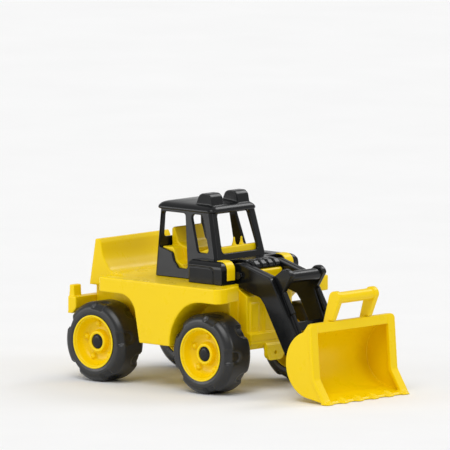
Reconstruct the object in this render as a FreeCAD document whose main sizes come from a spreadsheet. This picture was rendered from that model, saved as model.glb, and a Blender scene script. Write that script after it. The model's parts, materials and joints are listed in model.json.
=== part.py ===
"""Ride-on digger: a child's push-along loader with a seat, a cab, four wheels and a tilting bucket.

Millimetres. +X is the front, +Y the left side, +Z up; the origin is on the ground at the
middle of the whole object's box. Side outlines are drawn in X and Z and padded across Y.
"""
import FreeCAD, Part
import os
import Sketcher

V = FreeCAD.Vector

DIMENSIONS = {
    "half_width": 197.0, "wall": 3.0,
    "wheel_radius": 95.0, "wheel_inner": 112.0, "front_axle_at": 42.4, "rear_axle_at": -300.5,
    "rim_radius": 63.5, "axle_radius": 5.0, "boss_radius": 25.5, "cap_radius": 17.0,
    "bolt_pitch": 43.0, "bolt_radius": 6.5, "tread_notch": 3.6,
    "hull_half": 108.0, "seat_half": 122.0, "hull_bottom": 117.0, "hull_top": 240.0,
    "nose_front": 84.0, "nose_half": 78.8, "nose_edge": 223.5, "nose_slope": 42.0, "nose_step": 56.0,
    "ledge_reach": 13.0,
    "rear_end": -372.0, "fender_top": 252.0, "fender_edge": 217.0, "fender_front": 99.0,
    "fender_rear": -287.0, "seat_level": 252.0, "seat_pad_half": 100.0, "seat_pad_rise": 2.0,
    "backrest_top": 330.0,
    "bumper_half": 178.0, "bumper_rear": -398.0, "bumper_low": 154.0, "bumper_high": 194.0,
    "hood_half": 134.0, "hood_front": 54.0, "hood_rear": -54.0, "hood_high": 306.0,
    "lamp_at": 102.0, "lamp_width": 27.0, "lamp_proud": 1.5,
    "cab_low_half": 91.6, "cab_high_half": 78.0, "cab_rear": -200.0, "cab_front": 8.0,
    "cab_top": 418.0, "cab_wall": 4.0, "cab_lean": 41.0,
    "roof_high": 428.0, "lamp_hump_high": 455.0, "lamp_hump_at": 45.0,
    "arm_at": 63.0, "arm_thick": 29.0, "arm_pivot_x": 60.0, "arm_pivot_z": 273.0,
    "pivot_radius": 6.0, "pivot_cap_radius": 9.0, "knee_x": 189.0, "knee_z": 276.0, "bar_radius": 14.0,
    "bucket_pivot_x": 224.0, "bucket_pivot_z": 92.0,
    "bucket_half": 147.0, "bucket_side": 141.0, "bucket_wall": 4.0, "bucket_round": 80.0,
    "bucket_round_x": 343.0, "bucket_round_z": 90.6, "flange_width": 24.0,
    "handle_x": 351.0, "handle_z": 242.0, "handle_bar": 13.5,
    "running_gap": 0.08,
}

SIDES = (("left", 1), ("right", -1))
TYRE_NOTCHES = 5
RIM_BOLTS = 5
BUCKET_TEETH = 6

doc = FreeCAD.newDocument("ride_on_digger")
sheet = doc.addObject("Spreadsheet::Sheet", "dims")


def fill_sheet():
    """Write every driving dimension into the sheet, with its alias."""
    for row, (alias, value) in enumerate(DIMENSIONS.items(), start=1):
        sheet.set(f"A{row}", alias)
        sheet.set(f"B{row}", str(value))
        sheet.setAlias(f"B{row}", alias)
    doc.recompute()


def dim(alias):
    """A driving dimension, read back from the sheet."""
    return float(sheet.get(alias))


# ---- drawing helpers ----------------------------------------------------------------------

def new_body(name):
    """A sub-part: a body whose label is the node's name."""
    body = doc.addObject("PartDesign::Body", name)
    body.Label = name
    return body


def origin_feature(body, role):
    """One of a body's own origin planes or axes."""
    return next(item for item in body.Origin.OriginFeatures if item.Role == role)


def new_sketch(body, plane="XZ_Plane", offset=None):
    """A sketch on an origin plane of its body; offset is a distance or an expression."""
    name = f"{body.Name}_sketch_{len(body.Group)}"
    sketch = body.newObject("Sketcher::SketchObject", name)
    sketch.AttachmentSupport = [(origin_feature(body, plane), "")]
    sketch.MapMode = "FlatFace"
    if isinstance(offset, str):
        sketch.setExpression("AttachmentOffset.Base.z", offset)
    elif offset:
        sketch.AttachmentOffset = FreeCAD.Placement(V(0, 0, offset), FreeCAD.Rotation())
    return sketch


def value_of(item):
    """A number as it is, or the value of an expression on the sheet."""
    return float(sheet.evalExpression(item)) if isinstance(item, str) else float(item)


def draw_outline(sketch, points):
    """A closed outline. A point is (x, y), or (x, y, bulge) where bulge is a point (x, y) that the
    arc from here to the next point passes through. Arcs are stored counter-clockwise."""
    places = [V(value_of(point[0]), value_of(point[1]), 0) for point in points]
    pieces = []
    for index, point in enumerate(points):
        start, end = places[index], places[(index + 1) % len(points)]
        if len(point) == 3:
            middle = V(value_of(point[2][0]), value_of(point[2][1]), 0)
            clockwise = (middle - start).cross(end - middle).z < 0
            pieces.append(Part.Arc(end, middle, start) if clockwise else Part.Arc(start, middle, end))
        else:
            pieces.append(Part.LineSegment(start, end))
    sketch.addGeometry(pieces)
    bind_outline(sketch, points, places)


def bind_outline(sketch, points, places):
    """Join an outline's pieces end to end, fix its corners, and bind them to the sheet."""
    constraints, bound = [], []
    for index, point in enumerate(points):
        before = (index - 1) % len(points)
        corner = corner_end(sketch, index, places[index])
        constraints.append(Sketcher.Constraint(
            "Coincident", before, corner_end(sketch, before, places[index]), index, corner))
        for item, kind, value in zip(point, ("DistanceX", "DistanceY"), places[index]):
            if isinstance(item, str):
                bound.append((len(constraints), item))
            constraints.append(Sketcher.Constraint(kind, index, corner, value))
    sketch.addConstraint(constraints)
    for number, expression in bound:
        sketch.setExpression(f"Constraints[{number}]", expression)


def corner_end(sketch, index, place):
    """Which end of a sketch piece (1 start, 2 end) lies at a place: an arc may run either way."""
    piece = sketch.Geometry[index]
    return 1 if piece.StartPoint.distanceToPoint(place) < piece.EndPoint.distanceToPoint(place) else 2


def draw_circle(sketch, x, y, radius):
    """A circle whose centre and radius may be bound to the sheet."""
    circle = Part.Circle(V(value_of(x), value_of(y), 0), V(0, 0, 1), value_of(radius))
    index = sketch.addGeometry(circle)
    for kind, item in (("DistanceX", x), ("DistanceY", y)):
        if isinstance(item, str):
            number = sketch.addConstraint(Sketcher.Constraint(kind, index, 3, value_of(item)))
            sketch.setExpression(f"Constraints[{number}]", item)
    if isinstance(radius, str):
        number = sketch.addConstraint(Sketcher.Constraint("Radius", index, value_of(radius)))
        sketch.setExpression(f"Constraints[{number}]", radius)


def extrude(body, sketch, kind, length, both_ways=True, reverse=False):
    """Pad or pocket a sketch, evenly about its plane unless told otherwise."""
    feature = body.newObject(f"PartDesign::{kind}", f"{body.Name}_{kind}_{len(body.Group)}")
    feature.Profile = sketch
    feature.SideType = "Symmetric" if both_ways else "One side"
    feature.Reversed = reverse
    if isinstance(length, str):
        feature.setExpression("Length", length)
    else:
        feature.Length = length
    doc.recompute()
    return feature


def pad(body, points, length, plane="XZ_Plane", offset=None, both_ways=True, reverse=False):
    """Add an outline padded across its plane."""
    sketch = new_sketch(body, plane, offset)
    draw_outline(sketch, points)
    return extrude(body, sketch, "Pad", length, both_ways, reverse)


def pocket(body, points, length, plane="XZ_Plane", offset=None, both_ways=True, reverse=False):
    """Cut an outline out of the body, and check that something was cut."""
    volume = body.Shape.Volume
    sketch = new_sketch(body, plane, offset)
    draw_outline(sketch, points)
    feature = extrude(body, sketch, "Pocket", length, both_ways, reverse)
    expect_cut(body, volume)
    return feature


def pad_circle(body, x, y, radius, length, plane="XZ_Plane", offset=None, both_ways=True, reverse=False):
    """Add a round bar or boss."""
    sketch = new_sketch(body, plane, offset)
    draw_circle(sketch, x, y, radius)
    return extrude(body, sketch, "Pad", length, both_ways, reverse)


def bore(body, x, y, radius, length, plane="XZ_Plane", offset=None, both_ways=True, reverse=False):
    """Cut a round hole, and check that something was cut."""
    volume = body.Shape.Volume
    sketch = new_sketch(body, plane, offset)
    draw_circle(sketch, x, y, radius)
    feature = extrude(body, sketch, "Pocket", length, both_ways, reverse)
    expect_cut(body, volume)
    return feature


def expect_cut(body, volume):
    """Stop if a pocket left the body's volume as it was."""
    if body.Shape.Volume > volume - 1.0:
        raise RuntimeError(f"{body.Label}: a pocket cut nothing")


def revolve(body, points, kind="Revolution"):
    """Turn an outline of (y, radius) points about the body's Y axis."""
    sketch = new_sketch(body, "YZ_Plane")
    draw_outline(sketch, points)
    feature = body.newObject(f"PartDesign::{kind}", f"{body.Name}_{kind}_{len(body.Group)}")
    feature.Profile = sketch
    feature.ReferenceAxis = (sketch, ["H_Axis"])
    feature.Angle = 360
    doc.recompute()
    return feature


def repeat_round(body, feature, count):
    """Repeat a feature evenly about the body's Y axis."""
    pattern = body.newObject("PartDesign::PolarPattern", f"{body.Name}_pattern_{len(body.Group)}")
    pattern.Originals = [feature]
    pattern.Axis = (origin_feature(body, "Y_Axis"), [""])
    pattern.Angle = 360
    pattern.Occurrences = count
    body.Tip = pattern
    doc.recompute()


def box_points(low_x, low_y, high_x, high_y):
    """The four corners of an upright rectangle."""
    return [(low_x, low_y), (high_x, low_y), (high_x, high_y), (low_x, high_y)]


def bar(name, pivot, radius, half_length):
    """A round bar across the object, at a place (pivot_x, pivot_z) of the sheet."""
    body = new_body(name)
    pad_circle(body, f"dims.{pivot}_x", f"dims.{pivot}_z", radius, 2 * half_length)
    return body


def make_feature(name, shape):
    """A sub-part, or a group of like ones, made with solid tools from the sheet's sizes."""
    feature = doc.addObject("Part::Feature", name)
    feature.Shape = shape
    feature.Label = name
    feature.Placement = FreeCAD.Placement()
    return feature


# ---- body ---------------------------------------------------------------------------------

def hull_outline(inset=0.0):
    """Side outline of the hull; inset moves every wall inwards, and the bottom out through the floor."""
    bottom = "dims.hull_bottom - dims.wall" if inset else "dims.hull_bottom"
    return [
        (f"dims.rear_end + {inset}", bottom),
        (f"dims.nose_front - {inset}", bottom),
        (f"dims.nose_front - {inset}", f"dims.nose_edge - {inset}"),
        (f"dims.nose_slope - {inset / 2}", f"dims.fender_top - {inset}"),
        (f"dims.nose_slope - {12 + inset}", f"dims.hull_top - {inset}"),
        (f"dims.rear_end + {inset}", f"dims.hull_top - {inset}"),
    ]


def fender_outline(inset=0.0):
    """Side outline of the fenders and of the skirt between the wheels, with both wheel arches."""
    front = (-30.0 - inset, 183.0 + inset)
    rear = (-182.0 + inset, 207.0 + inset)
    return [
        (f"dims.fender_rear + {inset}", f"dims.fender_top - {inset}"),
        (f"dims.fender_rear + {inset}", f"dims.fender_edge + {inset}"),
        (-215.0 + inset, f"dims.fender_edge + {inset}", rear),
        (-168.0 + inset, 184.5),
        (-152.0 + inset, 106.0),
        (-59.0 - inset, 106.0, front),
        (f"dims.front_axle_at - {inset}", f"dims.fender_edge + {inset}"),
        (f"dims.fender_front - {inset}", f"dims.fender_edge + {inset}"),
        (f"dims.fender_front - {inset}", f"dims.fender_top - {inset}"),
    ]


def seat_outline(inset=0.0):
    """Side outline of the seat and the backrest that leans forward."""
    return [
        (f"dims.cab_rear - {0.5 + inset}", f"{219 - inset}"),
        (f"dims.cab_rear - {0.5 + inset}", f"dims.seat_level - {inset}"),
        (-306.0, f"dims.seat_level - {inset}", (-326.0 - inset, 262.0)),
        (-336.0 - inset, 282.0),
        (-344.0 - inset, f"dims.backrest_top - 10 - {inset}"),
        (-350.0 - inset, f"dims.backrest_top - {inset}"),
        (-362.0 + inset, f"dims.backrest_top - 2 - {inset}"),
        (-381.0 + inset, f"{219 - inset}"),
    ]


def make_body_shell():
    """Hull, nose, seat, backrest, fenders and skirts: one hollow moulding, open below."""
    body = new_body("body_shell")
    pad(body, hull_outline(), "2 * dims.hull_half")
    pad(body, fender_outline(), "2 * dims.half_width")
    pad(body, seat_outline(), "2 * dims.seat_half")
    add_nose(body)
    pocket(body, seat_outline(dim("wall")), "2 * (dims.seat_half - dims.wall)")
    pocket(body, fender_outline(dim("wall")), "2 * (dims.half_width - dims.wall)")
    pocket(body, hull_outline(dim("wall")), "2 * (dims.hull_half - dims.wall)")
    skirt_room = box_points(-160.0, 100.0, -50.0, "dims.hull_bottom")
    pocket(body, skirt_room, "2 * dims.hull_half")
    slope_nose(body)
    cut_arm_channels(body)
    add_pivot_block(body)
    add_screw_bosses(body)
    add_fender_studs(body)
    add_seat_pad(body)
    return body


def slope_nose(body):
    """The nose's top slopes down in front of the hood, and the nose is narrower than the hull."""
    above = [("dims.nose_slope", "dims.fender_top"), ("dims.nose_front", "dims.nose_edge"),
             ("dims.nose_front", "dims.nose_edge - 12"), ("dims.nose_front + 20", "dims.nose_edge - 12"),
             ("dims.nose_front + 20", "dims.fender_top + 10"), ("dims.nose_slope", "dims.fender_top + 10")]
    pocket(body, above, "2 * dims.nose_half")
    skin = [("dims.nose_slope - 2", "dims.fender_top"), ("dims.nose_slope", "dims.fender_top"),
            ("dims.nose_front", "dims.nose_edge"), ("dims.nose_front", "dims.nose_edge - 4"),
            ("dims.nose_slope - 2", "dims.fender_top - 4")]
    pad(body, skin, "2 * dims.nose_half")
    for _, sign in SIDES:
        step_nose_side(body, sign)
        slant_fender_end(body, sign)


def step_nose_side(body, sign):
    """Beside the nose the hull steps in; the step, the nose's side and the fender's end are walls."""
    corner = [("dims.nose_step", f"{sign} * dims.nose_half"), (125.0, f"{sign} * dims.nose_half"),
              (125.0, f"{sign} * dims.hull_half"), ("dims.nose_step", f"{sign} * dims.hull_half")]
    pocket(body, corner, "dims.fender_top + 5", "XY_Plane", both_ways=False, reverse=True)
    slope_there = "dims.fender_top - (dims.nose_step - 3 - dims.nose_slope) * 0.678"
    side = [("dims.nose_step - 3", "dims.hull_bottom"), ("dims.nose_front", "dims.hull_bottom"),
            ("dims.nose_front", "dims.nose_edge"), ("dims.nose_step - 3", slope_there)]
    pad(body, side, "dims.wall", offset=f"{-sign} * (dims.nose_half - dims.wall / 2)")
    step = box_points("dims.nose_step - 3", "dims.hull_bottom", "dims.nose_step", "dims.fender_top")
    pad(body, step, "dims.hull_half - dims.nose_half + dims.wall",
        offset=f"{-sign} * (dims.hull_half + dims.nose_half - dims.wall) / 2")
    fender_end = box_points("dims.nose_step - 3", "dims.fender_edge", "dims.fender_front", "dims.fender_top")
    pad(body, fender_end, "dims.wall", offset=f"{-sign} * (dims.hull_half + dims.wall / 2)")


def slant_fender_end(body, sign):
    """A fender's front face runs back a little towards the nose."""
    wedge = [("dims.fender_front - 14", sign * 108.0), ("dims.fender_front + 0.5", sign * 172.0),
             ("dims.fender_front + 20", sign * 172.0), ("dims.fender_front + 20", sign * 108.0)]
    skin = [("dims.fender_front - 18", sign * 108.0), ("dims.fender_front - 14", sign * 108.0),
            ("dims.fender_front + 0.5", sign * 172.0), ("dims.fender_front - 4", sign * 172.0)]
    pocket(body, wedge, "dims.fender_top + 5", "XY_Plane", both_ways=False, reverse=True)
    pad(body, skin, "dims.fender_top - dims.fender_edge", "XY_Plane", "dims.fender_edge", both_ways=False)


def add_nose(body):
    """Raised panels and the deep hollow ledge on the nose's front face."""
    ledge = [("dims.nose_front - 1", "dims.hull_bottom"), ("dims.nose_front + dims.ledge_reach", "dims.hull_bottom"),
             ("dims.nose_front + dims.ledge_reach", 135.5), ("dims.nose_front - 1", 139.0)]
    pad(body, ledge, "2 * dims.nose_half")
    inside = box_points("dims.nose_front + 1", "dims.hull_bottom - 4", "dims.nose_front + dims.ledge_reach - 3", 132.0)
    pocket(body, inside, "2 * (dims.nose_half - dims.wall)")
    panel = [("dims.nose_front - 1", 137.0), ("dims.nose_front + 4", 137.0),
             ("dims.nose_front + 4", 205.0), ("dims.nose_front - 1", 209.0)]
    for _, sign in SIDES:
        pad(body, panel, 33.0, offset=-sign * 54.5)
    pad(body, panel, 49.0)


def cut_arm_channels(body):
    """Two channels over the nose, so that the arms' roots can turn."""
    channel = [(26.0, 260.0), (26.0, 241.0), (50.0, 241.0), (125.0, 211.0), (125.0, 260.0)]
    for _, sign in SIDES:
        pocket(body, channel, 33.0, offset=-sign * dim("arm_at"))


def add_pivot_block(body):
    """The raised middle of the nose between the arms, which holds the arms' pivot pin."""
    block = [(36.0, 236.0), (36.0, 284.0), (80.0, 284.0), ("dims.nose_front", 280.0), ("dims.nose_front", 216.0)]
    hollow = [(40.0, 230.0), (40.0, 281.0), (78.0, 281.0), (81.0, 278.0), (81.0, 214.0)]
    pad(body, block, 90.0)
    pocket(body, hollow, 82.0)
    bore(body, "dims.arm_pivot_x", "dims.arm_pivot_z", "dims.pivot_radius", 100.0)


def screw_places():
    """Centres (x, y) of the six screws that hold the pan."""
    return [(x, sign * y) for x, y in ((-350.0, 96.0), (-200.0, 96.0), (66.0, 68.0)) for _, sign in SIDES]


def add_screw_bosses(body):
    """Bosses inside the hull for the pan's screws."""
    for x, y in screw_places():
        pad_circle(body, x, y, 9.2, 28.0, "XY_Plane", "dims.hull_bottom", both_ways=False)
        bore(body, x, y, 2.0, 24.0, "XY_Plane", "dims.hull_bottom", both_ways=False, reverse=True)


def add_fender_studs(body):
    """Three small studs on each rear fender."""
    for _, sign in SIDES:
        for x in (-280.0, -266.0, -252.0):
            pad_circle(body, x, sign * 150.0, 4.5, 5.0, "XY_Plane", "dims.fender_top - 0.5", both_ways=False)


def add_seat_pad(body):
    """The slightly raised face the child sits on, clear of the cab and of the backrest's curve."""
    face = box_points("dims.cab_rear - 104", "-dims.seat_pad_half", "dims.cab_rear - 6", "dims.seat_pad_half")
    pad(body, face, "dims.seat_pad_rise", "XY_Plane", "dims.seat_level", both_ways=False)


def make_underbody_pan():
    """Flat pan under the hull with two bearing blocks for each axle, a chin and a front tab with a hole."""
    body = new_body("underbody_pan")
    plate = box_points("dims.rear_end", "dims.hull_bottom - 3", "dims.nose_front", "dims.hull_bottom")
    pad(body, plate, "2 * (dims.hull_half - 0.5)")
    for _, sign in SIDES:
        corner = [("dims.nose_step", f"{sign} * (dims.nose_half - 0.5)"), (125.0, f"{sign} * (dims.nose_half - 0.5)"),
                  (125.0, f"{sign} * (dims.hull_half + 1)"), ("dims.nose_step", f"{sign} * (dims.hull_half + 1)")]
        pocket(body, corner, "dims.fender_top", "XY_Plane", both_ways=False, reverse=True)
    chin = [("dims.nose_front - 2", "dims.hull_bottom"), ("dims.nose_front - 2", 98.0), ("dims.nose_front + 2", 98.0),
            ("dims.nose_front + dims.ledge_reach", 112.0), ("dims.nose_front + dims.ledge_reach", "dims.hull_bottom")]
    pad(body, chin, "2 * (dims.nose_half - 0.5)")
    for axle in ("dims.front_axle_at", "dims.rear_axle_at"):
        for _, sign in SIDES:
            block = [(f"{axle} - 22", "dims.hull_bottom - 1"), (f"{axle} - 12", 80.0),
                     (f"{axle} + 12", 80.0), (f"{axle} + 22", "dims.hull_bottom - 1")]
            pad(body, block, 20.0, offset=-sign * 96.0)
        bore(body, axle, "dims.wheel_radius", "dims.axle_radius + 0.05", 240.0)
    add_front_tab(body)
    for x, y in screw_places():
        bore(body, x, y, 2.4, 260.0, "XY_Plane")
    return body


def add_front_tab(body):
    """The tab in front of the pan's chin, with round lower corners and one hole."""
    tab = [("dims.nose_front + 9", 112.0), ("dims.nose_front + 9", 76.0), ("dims.nose_front + 14", 70.0),
           ("dims.nose_front + 20", 70.0), ("dims.nose_front + 20", 106.0), ("dims.nose_front + 12", 112.0)]
    pad(body, tab, 58.0)
    for _, sign in SIDES:
        corner = [(sign * 29.5, 69.0), (sign * 29.5, 96.0, (sign * 25.0, 76.0)), (sign * 14.0, 69.0)]
        pocket(body, corner, 260.0, "YZ_Plane")
    bore(body, 0.0, 88.0, 5.0, 260.0, "YZ_Plane")


def make_screws():
    """The six pan-head screws under the pan, as one group of solids."""
    screws = [screw_solid(x, y) for x, y in screw_places()]
    return make_feature("underbody_screws", Part.makeCompound(screws))


def screw_solid(x, y):
    """One screw: a head below the pan and a shank up into its boss."""
    under = dim("hull_bottom") - 3
    shank = Part.makeCylinder(1.9, 20.0, V(x, y, under))
    head = Part.makeCylinder(4.2, 2.6, V(x, y, under - 2.6))
    return head.fuse(shank).removeSplitter()


def make_rear_bumper():
    """Cross bar behind the rear wheels with a lip, and a tapered tail block at each end."""
    body = new_body("rear_bumper")
    profile = [("dims.bumper_rear", "dims.bumper_low + 6"), ("dims.bumper_rear - 2", "dims.bumper_low"),
               ("dims.bumper_rear + 14", "dims.bumper_low"), ("dims.rear_end - 0.2", 166.0),
               ("dims.rear_end - 0.2", "dims.bumper_high - 4"), ("dims.rear_end - 4", "dims.bumper_high"),
               ("dims.bumper_rear + 4", "dims.bumper_high"), ("dims.bumper_rear", "dims.bumper_high - 4")]
    pad(body, profile, "2 * dims.bumper_half")
    hollow = [(-394.5, 150.0), (-384.0, 150.0), (-375.4, 168.0), (-375.4, 190.5), (-394.5, 190.5)]
    pocket(body, hollow, "2 * (dims.bumper_half - 3)")
    tail = [(-396.0, 190.6), (-393.0, 222.0), (-382.0, 222.0), (-379.0, 190.6)]
    for _, sign in SIDES:
        pad(body, tail, 26.0, offset=-sign * 163.0)
    return body


# ---- cab ----------------------------------------------------------------------------------

def cab_section(inset, level):
    """Corners of the cab's plan at a height: it narrows towards the roof and its front leans back."""
    low = dim("fender_top")
    rise = (level - low) / (dim("cab_top") - low)
    half = dim("cab_low_half") + (dim("cab_high_half") - dim("cab_low_half")) * rise - inset
    front = dim("cab_front") - dim("cab_lean") * rise - inset
    rear = dim("cab_rear") + 5.0 * rise + inset
    corners = [V(rear, -half, level), V(front, -half, level), V(front, half, level), V(rear, half, level)]
    return Part.makePolygon(corners + corners[:1])


def tapered_block(inset, low, high):
    """A solid between two plans of the cab."""
    return Part.makeLoft([cab_section(inset, low), cab_section(inset, high)], True)


def side_cutter(points):
    """A prism right across the cab from an outline in X and Z."""
    face = Part.Face(Part.makePolygon([V(x, -150, z) for x, z in points + points[:1]]))
    return face.extrude(V(0, 300, 0))


def cab_side_openings():
    """Outlines of the side window behind the windshield's pillar and of the door behind it."""
    window = [(-94.0, 404.0), (-59.0, 404.0), (-31.0, 318.0), (-65.0, 318.0)]
    door = [(-188.0, 404.0), (-112.0, 404.0), (-96.0, 276.0), (-126.0, 276.0), (-142.0, 292.0),
            (-148.0, 312.0), (-190.0, 322.0)]
    return window, door


def end_cutter(points, low_x, high_x):
    """A prism along the cab from an outline in Y and Z."""
    face = Part.Face(Part.makePolygon([V(low_x, y, z) for y, z in points + points[:1]]))
    return face.extrude(V(high_x - low_x, 0, 0))


def make_cab_shell():
    """Pillars, windshield frame and sills: a tapered shell with its openings cut through."""
    low, high, wall = dim("fender_top") + 0.2, dim("cab_top"), dim("cab_wall")
    shell = tapered_block(0.0, low, high).cut(tapered_block(wall, low - 10, high - 3))
    for opening in cab_side_openings():
        shell = shell.cut(side_cutter(opening))
    windshield = [(-63.0, 316.0), (63.0, 316.0), (57.0, 409.0), (-57.0, 409.0)]
    rear_window = [(-66.0, 343.0), (66.0, 343.0), (62.0, 404.0), (-62.0, 404.0)]
    shell = shell.cut(end_cutter(windshield, -50.0, 30.0)).cut(end_cutter(rear_window, -215.0, -170.0))
    return make_feature("cab_shell", shell.removeSplitter())


def make_cab_roof():
    """Crowned roof plate with a round front edge and two roof-lamp humps."""
    body = new_body("cab_roof")
    plate = [(-207.0, "dims.cab_top + 0.2"), (-27.0, "dims.cab_top + 0.2"), (-25.0, "dims.roof_high - 6"),
             (-34.0, "dims.roof_high"), (-196.0, "dims.roof_high + 2"), (-207.0, "dims.roof_high - 4")]
    pad(body, plate, 162.0)
    lamp = [(-92.0, "dims.roof_high - 2"), (-80.0, "dims.lamp_hump_high - 4"),
            (-72.0, "dims.lamp_hump_high"), (-52.0, "dims.lamp_hump_high"),
            (-42.0, "dims.lamp_hump_high - 6"), (-38.0, "dims.roof_high - 2")]
    for _, sign in SIDES:
        pad(body, lamp, 44.0, offset=-sign * dim("lamp_hump_at"))
    pocket(body, [(-203.0, 415.0), (-30.0, 415.0), (-28.5, 423.0), (-203.0, 423.5)], 154.0)
    hollow = [(-88.0, 420.0), (-77.0, 450.0), (-53.0, 450.0), (-42.0, 420.0)]
    for _, sign in SIDES:
        pocket(body, hollow, 38.0, offset=-sign * dim("lamp_hump_at"))
    return body


def lamp_strip(proud, thick=3.0, bend=16.0):
    """Outline of the headlight strip that wraps over the hood's front edge."""
    top, front = dim("hood_high") + proud, dim("hood_front") + proud
    x, z, half_turn = front - bend, top - bend, 0.5 ** 0.5
    outer, inner = bend * half_turn, (bend - thick) * half_turn
    return [(24.0, top), (x, top, (x + outer, z + outer)), (front, z), (front, 262.0),
            (front - thick, 262.0), (front - thick, z, (x + inner, z + inner)), (x, top - thick),
            (24.0, top - thick)]


def make_headlight(side, sign):
    """Yellow headlight strip, let into the hood and slightly proud of it."""
    body = new_body(f"headlight_{side}")
    pad(body, lamp_strip(dim("lamp_proud")), "dims.lamp_width", offset=f"{-sign} * dims.lamp_at")
    return body


def round_corner(x, z, radius):
    """Middle of the quarter arc that rounds the upper front corner at (x, z)."""
    back = radius * (1 - 0.5 ** 0.5)
    return (f"dims.{x} - {back}", f"dims.{z} - {back}")


def shoulder_cut(half, high, size, sign):
    """Corner (y, z) that is cut off along an upper outer edge."""
    return [(f"{sign} * (dims.{half} + 1)", f"dims.{high} - {size}"),
            (f"{sign} * (dims.{half} + 1)", f"dims.{high} + 1"),
            (f"{sign} * (dims.{half} - {size})", f"dims.{high} + 1")]


def make_hood():
    """Bonnet with two side wings round the cab's foot, open below, with slots for the arms."""
    body = new_body("hood")
    half_edge = [("dims.hood_rear", "dims.fender_top + 0.2"), ("dims.hood_front", "dims.fender_top + 0.2"),
                 ("dims.hood_front", "dims.hood_high - 16", round_corner("hood_front", "hood_high", 16.0)),
                 ("dims.hood_front - 16", "dims.hood_high"), ("dims.hood_rear", "dims.hood_high")]
    pad(body, half_edge, "2 * dims.hood_half")
    for _, sign in SIDES:
        pocket(body, shoulder_cut("hood_half", "hood_high", 13.0, sign), 260.0, "YZ_Plane")
    inner = [("dims.hood_rear + 3", "dims.fender_top - 5"), ("dims.hood_front - 3", "dims.fender_top - 5"),
             ("dims.hood_front - 3", "dims.hood_high - 18"), ("dims.hood_front - 18", "dims.hood_high - 5"),
             ("dims.hood_rear + 3", "dims.hood_high - 5")]
    pocket(body, inner, "2 * (dims.hood_half - 5)")
    cab_room = box_points("dims.hood_rear - 5", "-dims.cab_low_half - 0.4",
                          "dims.cab_front + 0.5", "dims.cab_low_half + 0.4")
    pocket(body, cab_room, 200.0, "XY_Plane", "dims.fender_top - 10", both_ways=False, reverse=True)
    slot = [(28.0, 245.0), (60.0, 245.0), (60.0, 301.0), (28.0, 301.0)]
    for _, sign in SIDES:
        pocket(body, slot, 42.0, offset=-sign * (dim("arm_at") + 4.3))
        pocket(body, lamp_strip(dim("lamp_proud")), "dims.lamp_width", offset=f"{-sign} * dims.lamp_at")
    pocket(body, box_points(40.0, 245.0, 60.0, 312.0), 93.0)
    return body


def make_hood_grille():
    """Middle of the bonnet's front between the arms, with four broad fins over its edge."""
    body = new_body("hood_grille")
    plate = [(42.0, 284.3), (77.0, 284.3), (77.0, 290.0), (71.0, 300.0), (62.0, 303.0), (42.0, 303.0)]
    pad(body, plate, 92.0)
    fin = [(50.0, 302.0), (58.0, 306.0), (70.0, 304.5), (79.0, 297.0), (80.0, 287.0), (74.0, 286.0),
           (60.0, 299.0)]
    for y in (-34.5, -11.5, 11.5, 34.5):
        pad(body, fin, 15.0, offset=y)
    return body


def make_cab_interior():
    """Yellow tub in the cab: floor, dash with two levers, and a seat back."""
    body = new_body("cab_interior")
    pad(body, box_points(-186.0, 272.0, -16.0, 276.0), 158.0)
    dash = [(-72.0, 274.0), (-66.0, 318.0), (-30.0, 330.0), (-20.0, 330.0), (-14.0, 274.0)]
    pad(body, dash, 156.0)
    seat = [(-182.0, 274.0), (-184.0, 362.0), (-176.0, 368.0), (-164.0, 330.0), (-130.0, 318.0),
            (-126.0, 274.0)]
    pad(body, seat, 96.0)
    pocket(body, [(-68.0, 271.0), (-62.5, 315.0), (-31.0, 326.0), (-23.0, 326.0), (-18.0, 271.0)], 150.0)
    pocket(body, [(-178.5, 271.0), (-180.5, 359.0), (-177.5, 361.0), (-167.0, 327.0), (-133.0, 315.5),
                  (-129.5, 271.0)], 90.0)
    shelf = [(-186.0, 274.0), (-186.0, 322.0), (-150.0, 322.0), (-146.0, 274.0)]
    for _, sign in SIDES:
        pad(body, shelf, 32.0, offset=-sign * 63.0)
    for y in (5.0, 31.0):
        add_lever(body, -34.0, y)
    return body


def add_lever(body, x, y):
    """One small flared control lever on the dash."""
    profile = [(x, 326.0), (x + 6.5, 326.0), (x + 3.0, 337.0), (x + 2.2, 347.0), (x, 349.0)]
    sketch = new_sketch(body, offset=-y)
    draw_outline(sketch, profile)
    feature = body.newObject("PartDesign::Revolution", f"{body.Name}_lever_{len(body.Group)}")
    feature.Profile = sketch
    feature.ReferenceAxis = (sketch, ["Edge5"])
    feature.Angle = 360
    doc.recompute()


# ---- loader -------------------------------------------------------------------------------

def arm_plate_outline():
    """Side outline of an arm's outer plate: round root, round elbow and round tip."""
    return [
        (60.0, 300.0), (148.0, 275.5, (164.0, 267.5)), (173.0, 251.0), (234.0, 144.0),
        (242.0, 94.0, (224.0, 74.0)), (205.5, 89.0), (181.0, 133.0), (136.0, 210.0), (124.0, 224.0),
        (60.0, 246.0, (33.0, 273.0)),
    ]


def arm_ear_outline():
    """Side outline of an arm's inner plate, which rises into an ear round the crossbar."""
    return [
        (60.0, 300.0), (148.0, 275.5), (156.0, 277.0), (167.0, 291.0, (189.0, 296.5)), (206.0, 284.0),
        (182.0, 238.0), (226.0, 142.0), (242.0, 94.0, (224.0, 74.0)), (205.5, 89.0), (181.0, 133.0),
        (136.0, 210.0), (124.0, 224.0), (60.0, 246.0, (33.0, 273.0)),
    ]


def arm_hollows():
    """Hollows in an arm's inner face, which leave its rim, its knee and its two pivot bosses."""
    return [
        [(78.0, 289.0), (150.0, 264.0), (160.0, 256.0), (150.0, 210.0), (138.0, 213.0), (126.0, 227.0),
         (78.0, 244.0)],
        [(172.0, 247.0), (183.0, 226.0), (199.0, 190.0), (218.0, 140.0), (226.0, 117.0), (204.0, 105.0),
         (184.0, 135.0), (154.0, 187.0)],
    ]


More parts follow.
